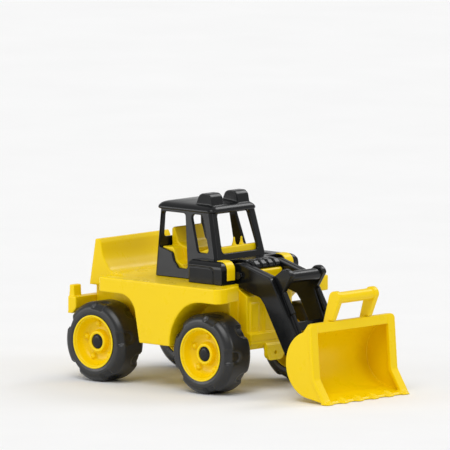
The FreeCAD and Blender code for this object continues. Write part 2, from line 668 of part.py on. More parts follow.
def make_loader_arm(side, sign):
    """One cranked arm of two plates, with a cylinder-shaped relief on its front edge."""
    body = new_body(f"loader_arm_{side}")
    middle = f"{-sign} * dims.arm_at"
    quarter = "dims.arm_thick / 4"
    pad(body, arm_plate_outline(), "dims.arm_thick / 2", offset=f"{-sign} * (dims.arm_at + {quarter})")
    pad(body, arm_ear_outline(), "dims.arm_thick / 2", offset=f"{-sign} * (dims.arm_at - {quarter})")
    for hollow in arm_hollows():
        pocket(body, hollow, "dims.arm_thick - 3.5", offset=f"{-sign} * (dims.arm_at - 3.5)")
    cylinder = [(180.0, 236.0), (190.0, 241.0), (219.0, 193.0), (209.0, 188.0)]
    pad(body, cylinder, 15.0, offset=middle)
    rod = [(208.0, 191.0), (215.0, 194.0), (240.0, 146.0), (233.0, 142.0)]
    pad(body, rod, 8.0, offset=middle)
    bore(body, "dims.arm_pivot_x", "dims.arm_pivot_z", "dims.pivot_radius + dims.running_gap", 60.0,
         offset=middle)
    bore(body, "dims.bucket_pivot_x", "dims.bucket_pivot_z", "dims.axle_radius", 60.0, offset=middle)
    return body


def make_arm_brace():
    """Lower cross brace between the arms."""
    body = new_body("arm_brace")
    pad(body, [(172.0, 164.0), (182.0, 148.0), (204.0, 148.0), (196.0, 170.0)], 96.9)
    return body


def bucket_back(offset):
    """Start, bulge and end of the bucket's round back, moved in by offset."""
    x, z, radius = dim("bucket_round_x"), dim("bucket_round_z"), dim("bucket_round") - offset
    return (x - 26.0, z + (radius ** 2 - 26.0 ** 2) ** 0.5), (x - radius, z), (x - 4.0, z - radius + 0.1)


def make_bucket():
    """Scoop with a round back, a flange round its mouth, lip teeth and two lugs behind."""
    body = new_body("bucket")
    start, bulge, end = bucket_back(0.0)
    outer = [(*start, bulge), end, (392.0, 0.6), (387.5, 9.0), (356.0, 59.0), (346.0, 177.0),
             (344.0, 188.0), (335.0, 188.0)]
    pad(body, outer, "2 * dims.bucket_side")
    for _, sign in SIDES:
        flange = [(338.0, 188.0), (346.0, 188.0), (348.0, 177.0), (357.0, 59.0), (388.5, 10.0), (393.0, 0.6),
                  (384.0, 2.5), (347.0, 57.0), (338.0, 176.0)]
        width = dim("flange_width")
        pad(body, flange, width, offset=-sign * (dim("bucket_half") - width / 2))
    start, bulge, end = bucket_back(dim("bucket_wall"))
    inner = [(*start, bulge), end, (389.0, 6.5), (420.0, 10.0), (420.0, 166.0), (337.0, 166.0)]
    pocket(body, inner, "2 * (dims.bucket_half - dims.flange_width)")
    behind = [(*start, bulge), end, (388.0, 4.5), (345.0, 57.0), (336.0, 166.0)]
    pocket(body, behind, "2 * (dims.bucket_side - dims.bucket_wall)")
    add_teeth(body)
    add_lugs(body)
    return body


def add_teeth(body):
    """Tapered teeth along the lip."""
    tooth = [(380.0, 3.0), (383.0, 11.0), (397.0, 5.5), (400.0, 0.6), (388.0, 0.6)]
    spread = dim("bucket_half") - 14.0
    for number in range(BUCKET_TEETH):
        y = -spread + 2 * spread * number / (BUCKET_TEETH - 1)
        pad(body, tooth, 24.0, offset=y)


def add_lugs(body):
    """Two lugs behind the bucket, inside the arms, with the pivot bore."""
    lug = [(218.0, 76.9), (290.0, 60.0), (290.0, 126.0), (224.0, 108.0, (208.0, 92.0))]
    for _, sign in SIDES:
        pad(body, lug, 11.0, offset=-sign * 42.0)
    start, bulge, end = bucket_back(dim("bucket_wall"))
    inner = [(*start, bulge), end, (340.0, 60.0), (340.0, 130.0)]
    pocket(body, inner, 110.0)
    bore(body, "dims.bucket_pivot_x", "dims.bucket_pivot_z", "dims.axle_radius + dims.running_gap", 120.0)


def make_bucket_handle():
    """Carrying handle: two ears and a round bar, standing on the bucket's top."""
    body = new_body("bucket_handle")
    ear = [(310.5, 166.0), (335.0, 188.3), (345.0, 188.3), (367.5, 238.0, (356.0, 258.5)), (334.5, 244.0)]
    for _, sign in SIDES:
        pad(body, ear, 14.0, offset=-sign * 63.0)
    pad_circle(body, "dims.handle_x", "dims.handle_z", "dims.handle_bar", 136.0)
    return body


def make_pivot_caps(name, pivot, start):
    """A pair of press-on caps at the ends of a pivot's pin."""
    x, z, radius = dim(f"{pivot}_x"), dim(f"{pivot}_z"), dim("pivot_cap_radius")
    caps = [Part.makeCylinder(radius, 4.0, V(x, sign * start, z), V(0, sign, 0)) for _, sign in SIDES]
    return make_feature(name, Part.makeCompound(caps))


# ---- wheels -------------------------------------------------------------------------------

def place_wheel_part(body, axle, sign):
    """Move a wheel's part, drawn about the origin with its outside at +Y, to its place."""
    half = (dim("half_width") - dim("wheel_inner")) / 2
    turn = FreeCAD.Rotation(V(0, 0, 1), 0 if sign > 0 else 180)
    place = V(dim(axle), sign * (dim("wheel_inner") + half), dim("wheel_radius"))
    body.Placement = FreeCAD.Placement(place, turn)
    body.setExpression("Placement.Base.x", f"dims.{axle}")
    body.setExpression("Placement.Base.z", "dims.wheel_radius")


def make_tyre(corner, axle, sign):
    """Hollow tyre with round shoulders and five notches in each, staggered."""
    body = new_body(f"tyre_{corner}")
    revolve(body, [
        (-42.5, 66.0), (-42.5, 74.0, (-39.0, 89.0)), (-27.0, "dims.wheel_radius"),
        (28.0, "dims.wheel_radius", (38.5, 90.0)), (41.0, 78.0), (40.4, 62.1), (38.0, 62.1), (38.0, 76.0),
        (26.0, 88.8), (-26.0, 88.8), (-39.0, 74.0), (-39.0, 62.1), (-41.0, 62.1)])
    for side in (1, -1):
        middle = 36.0 if side < 0 else 0.0
        cut_tread_notches(body, side, middle)
    place_wheel_part(body, axle, sign)
    return body


def cut_tread_notches(body, side, turn):
    """Five notches in one shoulder of the tread."""
    radius, half = dim("wheel_radius"), 16.0
    floor = radius - dim("tread_notch")
    corners = [(floor, -half), (floor, half), (radius + 8, half + 3), (radius + 8, -half - 3)]
    turned = FreeCAD.Rotation(V(0, 0, 1), turn)
    points = [turned.multVec(V(x, y, 0)) for x, y in corners]
    cut = pocket(body, [(point.x, point.y) for point in points], 28.0, offset=-side * 28.5)
    repeat_round(body, cut, TYRE_NOTCHES)


def make_rim(corner, axle, sign):
    """Deep-dished rim with a lip, a hub boss, five bolt bumps and a bore for the axle."""
    body = new_body(f"rim_{corner}")
    bore_radius = "dims.axle_radius + dims.running_gap"
    revolve(body, [
        (42.5, 58.0), (42.5, "dims.rim_radius"), (40.6, "dims.rim_radius"), (40.6, 61.9), (-38.2, 61.9),
        (-38.2, 58.9), (16.0, 58.9), (9.0, 45.0), (9.0, 12.0), (-41.5, 12.0), (-41.5, bore_radius),
        (22.5, bore_radius), (22.5, "dims.cap_radius + 0.2"), (28.5, "dims.cap_radius + 0.2"),
        (28.5, "dims.boss_radius - 2"), (26.5, "dims.boss_radius"), (12.0, "dims.boss_radius"),
        (12.0, 42.0), (22.0, 53.0)])
    bolt = pad_circle(body, "dims.bolt_pitch", 0.0, "dims.bolt_radius", 8.5, offset=-9.5,
                      both_ways=False, reverse=True)
    repeat_round(body, bolt, RIM_BOLTS)
    place_wheel_part(body, axle, sign)
    return body


def make_hub_cap(corner, axle, sign):
    """Black cap pressed into the hub, over the axle's end."""
    body = new_body(f"hub_cap_{corner}")
    revolve(body, [(25.6, 0.0), (25.6, "dims.cap_radius + 0.2"), (26.6, "dims.cap_radius + 0.2"),
                   (27.6, "dims.cap_radius - 2"), (28.0, 0.0)])
    place_wheel_part(body, axle, sign)
    return body


def make_axle_nut(corner, axle, sign):
    """Push-on nut that keeps the wheel on its axle."""
    body = new_body(f"axle_nut_{corner}")
    revolve(body, [(22.9, "dims.axle_radius"), (22.9, 9.5), (24.6, 9.0), (24.6, "dims.axle_radius")])
    place_wheel_part(body, axle, sign)
    return body


def make_axle(name, axle):
    """Steel rod across the object."""
    body = new_body(name)
    pad_circle(body, f"dims.{axle}", "dims.wheel_radius", "dims.axle_radius", 359.0)
    return body


def make_wheels():
    """Four wheels, each a tyre, rim, cap and nut, and the two axles."""
    parts = []
    for end, axle in (("front", "front_axle_at"), ("rear", "rear_axle_at")):
        parts.append(make_axle(f"{end}_axle", axle))
        for side, sign in SIDES:
            corner = f"{end}_{side}"
            for make in (make_tyre, make_rim, make_hub_cap, make_axle_nut):
                parts.append(make(corner, axle, sign))
    return parts


# ---- the whole object ---------------------------------------------------------------------

def make_parts():
    """Every sub-part, in the order in which it would be put together."""
    parts = [make_body_shell(), make_underbody_pan(), make_screws(), make_rear_bumper()]
    parts += [make_cab_shell(), make_cab_roof(), make_hood(), make_hood_grille(), make_cab_interior()]
    parts += [make_headlight(side, sign) for side, sign in SIDES]
    parts += [make_loader_arm(side, sign) for side, sign in SIDES]
    parts.append(bar("arm_crossbar", "knee", "dims.bar_radius", 48.45))
    parts.append(make_arm_brace())
    parts.append(bar("arm_pivot_pin", "arm_pivot", "dims.pivot_radius", 82.0))
    parts.append(make_pivot_caps("arm_pivot_caps", "arm_pivot", 82.0))
    parts += [make_bucket(), make_bucket_handle()]
    parts.append(bar("bucket_pivot_pin", "bucket_pivot", "dims.axle_radius", 79.0))
    parts.append(make_pivot_caps("bucket_pivot_caps", "bucket_pivot", 79.0))
    return parts + make_wheels()


def check_document(parts):
    """Stop if any object failed, or if a sub-part has no valid solid."""
    doc.recompute()
    for item in doc.Objects:
        if "Invalid" in item.State or "Error" in item.State:
            raise RuntimeError(f"{item.Label} failed: {item.State}")
    for part in parts:
        if part.Shape.isNull() or not part.Shape.isValid() or not part.Shape.Solids:
            raise RuntimeError(f"{part.Label} has no valid solid")


def write_parts(parts):
    """One STEP file for each sub-part."""
    os.makedirs("parts", exist_ok=True)
    for part in parts:
        part.Shape.exportStep(f"parts/{part.Label}.step")


def describe(part):
    """One line on a sub-part: solids, volume and box."""
    box = part.Shape.BoundBox
    return (f"{part.Label}: {len(part.Shape.Solids)} solids, {part.Shape.Volume / 1000:.1f} cm3, "
            f"X {box.XMin:.1f}..{box.XMax:.1f} Y {box.YMin:.1f}..{box.YMax:.1f} "
            f"Z {box.ZMin:.1f}..{box.ZMax:.1f}")


fill_sheet()
all_parts = make_parts()
check_document(all_parts)
write_parts(all_parts)
for made in all_parts:
    print(describe(made))
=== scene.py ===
"""Looks of the ride-on digger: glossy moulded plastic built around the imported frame.

Metres, in the frame's own axes: +X front, +Y left, +Z up. Outlines are written in millimetres.
"""
import json
import math

import bmesh
import bpy
from mathutils import Matrix, Vector


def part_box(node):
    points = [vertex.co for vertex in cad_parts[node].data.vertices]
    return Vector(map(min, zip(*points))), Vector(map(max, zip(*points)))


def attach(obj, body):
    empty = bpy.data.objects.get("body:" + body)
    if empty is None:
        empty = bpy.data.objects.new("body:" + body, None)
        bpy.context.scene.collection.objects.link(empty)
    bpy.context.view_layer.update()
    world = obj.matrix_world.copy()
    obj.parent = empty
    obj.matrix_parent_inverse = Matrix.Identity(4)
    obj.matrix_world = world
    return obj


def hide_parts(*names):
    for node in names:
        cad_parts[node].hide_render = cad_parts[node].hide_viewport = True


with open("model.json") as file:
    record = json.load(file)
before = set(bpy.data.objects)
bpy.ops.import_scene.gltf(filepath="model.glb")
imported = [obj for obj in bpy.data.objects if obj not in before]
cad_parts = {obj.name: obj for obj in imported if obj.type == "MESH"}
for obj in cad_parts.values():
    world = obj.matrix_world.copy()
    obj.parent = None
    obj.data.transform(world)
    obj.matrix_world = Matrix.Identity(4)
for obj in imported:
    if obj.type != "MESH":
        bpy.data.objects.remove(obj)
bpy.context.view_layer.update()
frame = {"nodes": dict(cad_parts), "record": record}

MM = 0.001
SIDES = (("left", 1), ("right", -1))
CORNERS = [(end, side, sign) for end in ("front", "rear") for side, sign in SIDES]

# Driving sizes in millimetres: half widths across Y, levels up Z, and places along X.
WHEEL_AT = 154.5
HULL_HALF, HULL_BOTTOM, REAR_END = 108, 117, -372
NOSE_HALF, NOSE_FRONT, NOSE_EDGE, NOSE_SLOPE = 78.8, 84, 223.5, 42
LEDGE_FRONT, PANEL_FRONT = 97, 88.0
FENDER_HALF, FENDER_TOP, FENDER_EDGE, FENDER_REAR = 197, 252, 217, -287
SKIRT_BOTTOM, SEAT_HALF, BACKREST_TOP = 106, 122, 330
CAB_TOP, CAB_FOOT, CAB_HALF, CAB_FRONT, CAB_REAR = 418.0, 252.4, 78.0, -33.0, -195.0
HOOD_HALF, HOOD_FRONT, HOOD_TOP, LAMP_AT = 134, 54, 306, 102
ROOF_LAMP_AT, SHELF_AT = 45, 63
CROSSBAR_AT, CROSSBAR_HALF = (189, 276), 48.4
BUCKET_ROUND_AT, BUCKET_RADIUS, BUCKET_HALF = (343.0, 90.6), 80.0, 147
HANDLE_AT, HANDLE_EAR_AT = (351, 242), 63
BUCKET_TEETH = 6


# ---- outlines -----------------------------------------------------------------------------

def rounded(points, steps=6):
    """A closed outline in mm from (x, y) or (x, y, radius) corners; a radius rounds its corner."""
    result = []
    count = len(points)
    for index, point in enumerate(points):
        here = Vector(point[:2])
        radius = point[2] if len(point) > 2 else 0.0
        before, after = Vector(points[index - 1][:2]), Vector(points[(index + 1) % count][:2])
        if radius <= 0 or (before - here).angle(after - here) > math.radians(177):
            result.append(here)
            continue
        result += corner_arc(before, here, after, radius, steps)
    return result


def corner_arc(before, here, after, radius, steps):
    """The arc that rounds one corner, with tangent points no further off than the sides allow."""
    back, ahead = (before - here), (after - here)
    angle = back.angle(ahead)
    reach = min(radius / math.tan(angle / 2), back.length * 0.49, ahead.length * 0.49)
    radius = reach * math.tan(angle / 2)
    start, end = here + back.normalized() * reach, here + ahead.normalized() * reach
    middle = here + (back.normalized() + ahead.normalized()).normalized() * (radius / math.sin(angle / 2))
    first, last = start - middle, end - middle
    sweep = first.angle_signed(last)
    return [middle + Matrix.Rotation(-sweep * step / steps, 2) @ first for step in range(steps + 1)]


def arc(x, y, radius, start, end, steps=24):
    """Points of an arc, angles in degrees."""
    turn = [math.radians(start + (end - start) * step / steps) for step in range(steps + 1)]
    return [Vector((x + radius * math.cos(angle), y + radius * math.sin(angle))) for angle in turn]


# ---- solids -------------------------------------------------------------------------------

def place(point, across, axis):
    """A point of an outline and its distance across, as a place in metres."""
    x, y = point
    if axis == "Y":
        return Vector((x, across, y)) * MM
    if axis == "Z":
        return Vector((x, y, across)) * MM
    return Vector((across, x, y)) * MM


def add_prism(mesh, outline, low, high, axis="Y"):
    """Add a closed prism between two levels (mm) across an axis."""
    lower = [mesh.verts.new(place(point, low, axis)) for point in outline]
    upper = [mesh.verts.new(place(point, high, axis)) for point in outline]
    count = len(outline)
    faces = [mesh.faces.new(lower), mesh.faces.new(upper[::-1])]
    for index in range(count):
        after = (index + 1) % count
        faces.append(mesh.faces.new((lower[index], upper[index], upper[after], lower[after])))
    bmesh.ops.recalc_face_normals(mesh, faces=faces)
    return lower + upper


def add_lathe(mesh, profile, steps=96, centre=(0, 0, 0), flip=1, shape=None):
    """Turn a closed (y, radius) profile in mm about a Y axis through a centre in metres."""
    rings = []
    for step in range(steps):
        angle = 2 * math.pi * step / steps
        rings.append([])
        for index, (y, radius) in enumerate(profile):
            if shape:
                y, radius = shape(index, y, radius, angle)
            offset = Vector((radius * math.cos(angle), flip * y, radius * math.sin(angle))) * MM
            rings[-1].append(mesh.verts.new(Vector(centre) + offset))
    faces = []
    for step in range(steps):
        here, after = rings[step], rings[(step + 1) % steps]
        for index in range(len(profile)):
            following = (index + 1) % len(profile)
            faces.append(mesh.faces.new((here[index], here[following], after[following], after[index])))
    bmesh.ops.recalc_face_normals(mesh, faces=faces)


def add_turned(mesh, profile, centre, axis, steps=24):
    """Turn an open (along, radius) profile in mm, closed at both ends, about any axis."""
    axis = Vector(axis).normalized()
    side = axis.orthogonal().normalized()
    up = axis.cross(side)
    rings = []
    for along, radius in profile:
        level = Vector(centre) + axis * along * MM
        rings.append([
            mesh.verts.new(level + (side * math.cos(turn) + up * math.sin(turn)) * radius * MM)
            for turn in (2 * math.pi * step / steps for step in range(steps))])
    faces = [mesh.faces.new(rings[0][::-1]), mesh.faces.new(rings[-1])]
    for here, after in zip(rings, rings[1:]):
        for step in range(steps):
            following = (step + 1) % steps
            faces.append(mesh.faces.new((here[step], here[following], after[following], after[step])))
    bmesh.ops.recalc_face_normals(mesh, faces=faces)


def make_piece(name, mesh, material, body, replaced, edge=0.0, segments=3, soft=None):
    """Finish a piece that rides on its body: bevelled edges, or a soft moulded skin of a given cell."""
    data = bpy.data.meshes.new(name)
    mesh.to_mesh(data)
    mesh.free()
    piece = bpy.data.objects.new(name, data)
    bpy.context.scene.collection.objects.link(piece)
    data.materials.append(material)
    for face in data.polygons:
        face.use_smooth = True
    if soft:
        melt(piece, *soft)
    if edge:
        round_over(piece, edge, segments)
        add_weighted_normals(piece)
    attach(piece, body)
    if replaced:
        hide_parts(*replaced)
    return piece


def melt(piece, cell, rounds):
    """Join overlapping solids into one moulded skin whose edges and inner corners are soft."""
    skin = piece.modifiers.new("skin", "REMESH")
    skin.mode = "VOXEL"
    skin.voxel_size = cell * MM
    skin.use_smooth_shade = True
    soften = piece.modifiers.new("soften", "SMOOTH")
    soften.factor = 0.5
    soften.iterations = rounds


def round_over(piece, width, segments):
    """Round every sharp edge of a piece with a bevel."""
    bevel = piece.modifiers.new("rounding", "BEVEL")
    bevel.width = width * MM
    bevel.segments = segments
    bevel.limit_method = "ANGLE"
    bevel.angle_limit = math.radians(32)
    bevel.use_clamp_overlap = False


def add_weighted_normals(piece):
    """Flat faces keep flat shading beside their rounded edges."""
    weighted = piece.modifiers.new("normals", "WEIGHTED_NORMAL")
    weighted.keep_sharp = True
    weighted.weight = 80


def join_cut(mesh, other, operation):
    """The mesh that is left when another mesh is cut from it, or kept in common with it."""
    holder, tool = (as_object(name, item) for name, item in (("holder", mesh), ("tool", other)))
    modifier = holder.modifiers.new("boolean", "BOOLEAN")
    modifier.object = tool
    modifier.operation = operation
    modifier.solver = "EXACT"
    graph = bpy.context.evaluated_depsgraph_get()
    result = bmesh.new()
    result.from_object(holder, graph)
    for item in (holder, tool):
        data = item.data
        bpy.data.objects.remove(item)
        bpy.data.meshes.remove(data)
    return result


def as_object(name, mesh):
    """A plain object that holds a mesh."""
    data = bpy.data.meshes.new(name)
    mesh.to_mesh(data)
    mesh.free()
    item = bpy.data.objects.new(name, data)
    bpy.context.scene.collection.objects.link(item)
    return item


def add_mesh(mesh, other):
    """Add another mesh to a mesh and free the other."""
    data = bpy.data.meshes.new("part")
    other.to_mesh(data)
    other.free()
    mesh.from_mesh(data)
    bpy.data.meshes.remove(data)


# ---- materials ----------------------------------------------------------------------------

class Nodes:
    """Small helper to wire a material's nodes."""

    def __init__(self, name):
        """A new material with its shader and the object's own coordinates."""
        self.material = bpy.data.materials.new(name)
        self.material.use_nodes = True
        self.tree = self.material.node_tree
        self.shader = self.tree.nodes["Principled BSDF"]
        self.place = self.add("ShaderNodeTexCoord").outputs["Object"]

    def add(self, kind, **values):
        """A new node with its inputs and properties set by name."""
        node = self.tree.nodes.new(kind)
        for key, value in values.items():
            if key in node.inputs:
                node.inputs[key].default_value = value
            else:
                setattr(node, key, value)
        return node

    def link(self, output, socket):
        """Join two sockets."""
        self.tree.links.new(output, socket)

    def noise(self, scale, detail=3.0, rough=0.55):
        """A noise pattern fixed to the object."""
        node = self.add("ShaderNodeTexNoise", Scale=scale, Detail=detail, Roughness=rough)
        self.link(self.place, node.inputs["Vector"])
        return node.outputs["Fac"]

    def ramp(self, source, low, high, first, last):
        """Map a pattern between two levels onto two values."""
        node = self.add("ShaderNodeMapRange")
        node.inputs["From Min"].default_value = low
        node.inputs["From Max"].default_value = high
        node.inputs["To Min"].default_value = first
        node.inputs["To Max"].default_value = last
        self.link(source, node.inputs["Value"])
        return node.outputs["Result"]

    def mix(self, factor, first, second):
        """Mix two colours by a pattern."""
        node = self.add("ShaderNodeMix", data_type="RGBA")
        self.link(factor, node.inputs["Factor"])
        node.inputs[6].default_value = first
        node.inputs[7].default_value = second
        return node.outputs[2]

    def bump(self, pattern, strength, distance, normal=None):
        """A bump from a pattern, on top of another bump."""
        node = self.add("ShaderNodeBump", Strength=strength, Distance=distance)
        self.link(pattern, node.inputs["Height"])
        if normal is not None:
            self.link(normal, node.inputs["Normal"])
        return node.outputs["Normal"]


def plastic(name, colour, worn, rough, grain=0.10, gloss=0.3):
    """Moulded plastic: slight colour drift, rubbed edges, fine grain and slow waviness."""
    nodes = Nodes(name)
    drift = nodes.ramp(nodes.noise(9.0), 0.35, 0.65, 0.0, 0.35)
    tint = nodes.mix(drift, colour, worn)
    edges = nodes.ramp(nodes.add("ShaderNodeNewGeometry").outputs["Pointiness"], 0.52, 0.60, 0.0, 0.5)
    rubbed = nodes.mix(edges, colour, tuple(min(part * 1.25 + 0.01, 1.0) for part in colour[:3]) + (1,))
    nodes.link(tint, rubbed.node.inputs[6])
    nodes.link(rubbed, nodes.shader.inputs["Base Color"])
    smudge = nodes.ramp(nodes.noise(26.0, 5.0), 0.35, 0.7, rough[0], rough[1])
    nodes.link(smudge, nodes.shader.inputs["Roughness"])
    slow = nodes.bump(nodes.noise(14.0, 2.0), 0.06, 0.0012)
    fine = nodes.bump(nodes.noise(1500.0, 2.0), grain, 0.00010, slow)
    nodes.link(fine, nodes.shader.inputs["Normal"])
    nodes.shader.inputs["Specular IOR Level"].default_value = gloss
    return nodes.material


def make_materials():
    """The object's finishes."""
    return {
        "yellow": plastic("yellow_plastic", (0.91, 0.64, 0.0, 1), (0.88, 0.60, 0.0, 1), (0.26, 0.38),
                          gloss=0.22),
        "black": plastic("black_plastic", (0.006, 0.0065, 0.007, 1), (0.010, 0.011, 0.012, 1), (0.15, 0.26),
                         gloss=0.28),
        "tyre": plastic("tyre_plastic", (0.010, 0.0105, 0.011, 1), (0.015, 0.015, 0.015, 1), (0.28, 0.40),
                        grain=0.30, gloss=0.50),
        "steel": steel("zinc_steel"),
    }


def steel(name):
    """Zinc-plated steel with a brushed, slightly cloudy surface."""
    nodes = Nodes(name)
    cloud = nodes.ramp(nodes.noise(60.0, 4.0), 0.3, 0.7, 0.0, 1.0)
    tint = nodes.mix(cloud, (0.52, 0.53, 0.55, 1), (0.66, 0.66, 0.67, 1))
    nodes.link(tint, nodes.shader.inputs["Base Color"])
    nodes.link(nodes.ramp(nodes.noise(180.0, 3.0), 0.3, 0.7, 0.28, 0.45), nodes.shader.inputs["Roughness"])
    nodes.link(nodes.bump(nodes.noise(900.0), 0.2, 0.0001), nodes.shader.inputs["Normal"])
    nodes.shader.inputs["Metallic"].default_value = 1.0
    return nodes.material


# ---- wheels -------------------------------------------------------------------------------

# Outside of the tyre from its outer bead over the tread to its inner bead: y, radius and rounding.
TYRE_CORNERS = [
    (40.2, 62.5), (41.6, 70.0, 10), (41.2, 84.0, 16), (29.0, 95.0, 14), (-29.0, 95.0, 14), (-41.2, 84.0, 16),
    (-41.6, 70.0, 10), (-39.8, 62.5)]
TREAD_POCKETS = 5
POCKET_START, POCKET_TIP, POCKET_HALF = 15.0, 50.0, 17.0
POCKET_RIM_DEPTH, POCKET_DEPTH = 1.8, 3.4


def even_points(points, spacing):
    """Points at an even spacing along an open line."""
    result = [points[0]]
    for start, end in zip(points, points[1:]):
        count = max(1, round((end - start).length / spacing))
        result += [start.lerp(end, step / count) for step in range(1, count + 1)]
    return result


def smooth_step(value):
    """A soft step from 0 to 1."""
    value = min(max(value, 0.0), 1.0)
    return value * value * (3 - 2 * value)


def pocket_depth(along, angle, turn):
    """Depth (mm) of the tongue-shaped tread pockets: along runs from the bead over the shoulder."""
    pitch = 2 * math.pi / TREAD_POCKETS
    offset = (angle - turn + pitch / 2) % pitch - pitch / 2
    round_way = abs(offset * 92.0)
    past_tip = along - POCKET_TIP
    if past_tip > 0:
        reach = POCKET_HALF - math.hypot(round_way, past_tip)
    else:
        reach = POCKET_HALF - (round_way + 0.10 * past_tip)
    rim = POCKET_RIM_DEPTH * smooth_step(reach / 1.4)
    floor = POCKET_DEPTH * smooth_step((reach - 4.0) / 1.8)
    return smooth_step((along - POCKET_START) / 6.0) * (rim + floor)


def make_wheel(end, side, sign, looks):
    """Tyre, rim and hub cap of one wheel."""
    corner = f"{end}_{side}"
    low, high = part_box(f"tyre_{corner}")
    centre = (low + high) / 2
    centre.y = sign * WHEEL_AT * MM
    body = f"wheel_{corner}"
    lean = math.radians({"front": 0.0, "rear": 10.0}[end])
    make_tyre(corner, centre, sign, lean, looks["tyre"], body)
    make_rim(corner, centre, sign, lean, looks, body)


def make_tyre(corner, centre, sign, lean, material, body):
    """Tyre with stepped tongue-shaped pockets on both shoulders, staggered."""
    profile = even_points(rounded(TYRE_CORNERS, 5), 1.8)
    lengths = [0.0]
    for start, end in zip(profile, profile[1:]):
        lengths.append(lengths[-1] + (end - start).length)
    stagger = math.pi / TREAD_POCKETS

    def shape(index, y, radius, angle):
        """A point of the tyre's outline, pushed in where a pocket is."""
        depth = pocket_depth(lengths[index], angle, lean)
        depth += pocket_depth(lengths[-1] - lengths[index], angle, lean + stagger)
        run = (profile[min(index + 1, len(profile) - 1)] - profile[max(index - 1, 0)]).normalized()
        return y - run.y * depth, radius + run.x * depth

    mesh = bmesh.new()
    add_lathe(mesh, profile, 400, centre, sign, shape)
    make_piece(f"tyre_skin_{corner}", mesh, material, body, [f"tyre_{corner}"])


# Dish of the rim from the lip inwards to the hub, and back behind it: y and radius.
RIM_PROFILE = [
    (40.4, 61.9), (40.8, 63.2), (41.8, 63.5), (42.5, 62.8), (42.5, 60.2), (41.8, 59.4), (40.0, 59.0),
    (38.6, 58.6), (38.2, 57.2), (37.4, 56.4), (33.0, 55.4), (27.0, 53.8), (21.0, 51.6), (16.5, 48.4),
    (14.0, 44.5), (13.0, 40.0), (12.6, 34.0), (12.8, 29.5), (13.8, 27.0), (16.0, 26.0), (24.0, 25.3),
    (26.8, 24.8), (28.2, 23.4), (28.5, 21.5), (28.2, 19.4), (27.2, 18.0), (25.0, 17.4), (22.6, 17.2),
    (22.5, 5.2), (-41.4, 5.2), (-41.4, 12.0), (6.0, 12.0), (7.0, 42.0), (16.0, 58.9), (-38.2, 58.9),
    (-38.2, 61.9)]
RIM_BOLTS = 5
BOLT_PITCH = 43.0


def make_rim(corner, centre, sign, lean, looks, body):
    """Dished rim with its bolt bumps, and the black cap in its hub."""
    mesh = bmesh.new()
    add_lathe(mesh, RIM_PROFILE, 96, centre, sign)
    bump = [(0.0, 10.5), (3.0, 10.0), (4.2, 8.6), (5.0, 7.0), (8.6, 6.4), (10.4, 5.4), (11.6, 3.4),
            (12.0, 1.0)]
    for number in range(RIM_BOLTS):
        angle = lean + math.radians(87.0) + 2 * math.pi * number / RIM_BOLTS
        offset = Vector((BOLT_PITCH * math.cos(angle), sign * 9.5, BOLT_PITCH * math.sin(angle))) * MM
        add_turned(mesh, bump, centre + offset, (0, sign, 0), 20)
    make_piece(f"rim_skin_{corner}", mesh, looks["yellow"], body, [f"rim_{corner}"])
    cap = bmesh.new()
    face = [(25.6, 17.0), (26.4, 17.1), (27.2, 16.6), (27.0, 14.6), (27.6, 14.0), (28.0, 10.0), (28.2, 1.0)]
    add_turned(cap, face, centre, (0, sign, 0), 40)
    make_piece(f"hub_cap_skin_{corner}", cap, looks["black"], body, [f"hub_cap_{corner}"])


# ---- body ---------------------------------------------------------------------------------

def make_body(looks):
    """The big yellow moulding: hull, nose, fenders, skirts, seat and backrest."""
    mesh = bmesh.new()
    side = rounded([(REAR_END, HULL_BOTTOM), (56, HULL_BOTTOM), (56, FENDER_TOP), (FENDER_REAR, FENDER_TOP),
                    (FENDER_REAR, 240), (REAR_END, 240)])
    add_prism(mesh, side, -HULL_HALF, HULL_HALF)
    add_nose(mesh)
    for _, sign in SIDES:
        add_mesh(mesh, fender(sign))
        for x in (-280.0, -266.0, -252.0):
            add_turned(mesh, [(-3.0, 5.0), (4.2, 5.0), (5.6, 3.4), (5.8, 1.0)],
                       Vector((x, sign * 150, 251.5)) * MM, (0, 0, 1), 16)
    seat = rounded([(-200.5, 219), (-200.5, FENDER_TOP), (-312, FENDER_TOP, 30), (-338, 288, 60), (-344, 320),
                    (-350, BACKREST_TOP), (-362, BACKREST_TOP - 2), (-381, 219)], 8)
    add_prism(mesh, seat, -SEAT_HALF, SEAT_HALF)
    block = rounded([(36, 236), (36, 284), (80, 284), (NOSE_FRONT, 280), (NOSE_FRONT, 216)])
    add_prism(mesh, block, -45, 45)
    make_piece("body_moulding", mesh, looks["yellow"], "chassis", ["body_shell"], soft=(1.7, 5))


def add_nose(mesh):
    """The nose: its low front part under the arms, the ridges beside them, the ledge and the panels."""
    channel_floor = [(NOSE_FRONT, NOSE_EDGE), (58, 236), (48, 241), (26, 241)]
    add_prism(mesh, rounded([(20, HULL_BOTTOM), (NOSE_FRONT, HULL_BOTTOM), *channel_floor, (24, 241)]),
              -NOSE_HALF, NOSE_HALF)
    ridge = rounded([(20, 200), (NOSE_FRONT, 200), (NOSE_FRONT, NOSE_EDGE), (NOSE_SLOPE, FENDER_TOP),
                     (20, FENDER_TOP)])
    for near, far in ((-48, 48), (-NOSE_HALF, -77.6), (77.6, NOSE_HALF)):
        add_prism(mesh, ridge, near, far)
    ledge = rounded([(60, HULL_BOTTOM), (LEDGE_FRONT, HULL_BOTTOM), (LEDGE_FRONT, 135.5), (83, 139),
                     (60, 139)])
    add_prism(mesh, ledge, -NOSE_HALF, NOSE_HALF)
    for low, high in ((-71.0, -38.0), (-24.5, 24.5), (38.0, 71.0)):
        add_mesh(mesh, nose_panel(low, high))


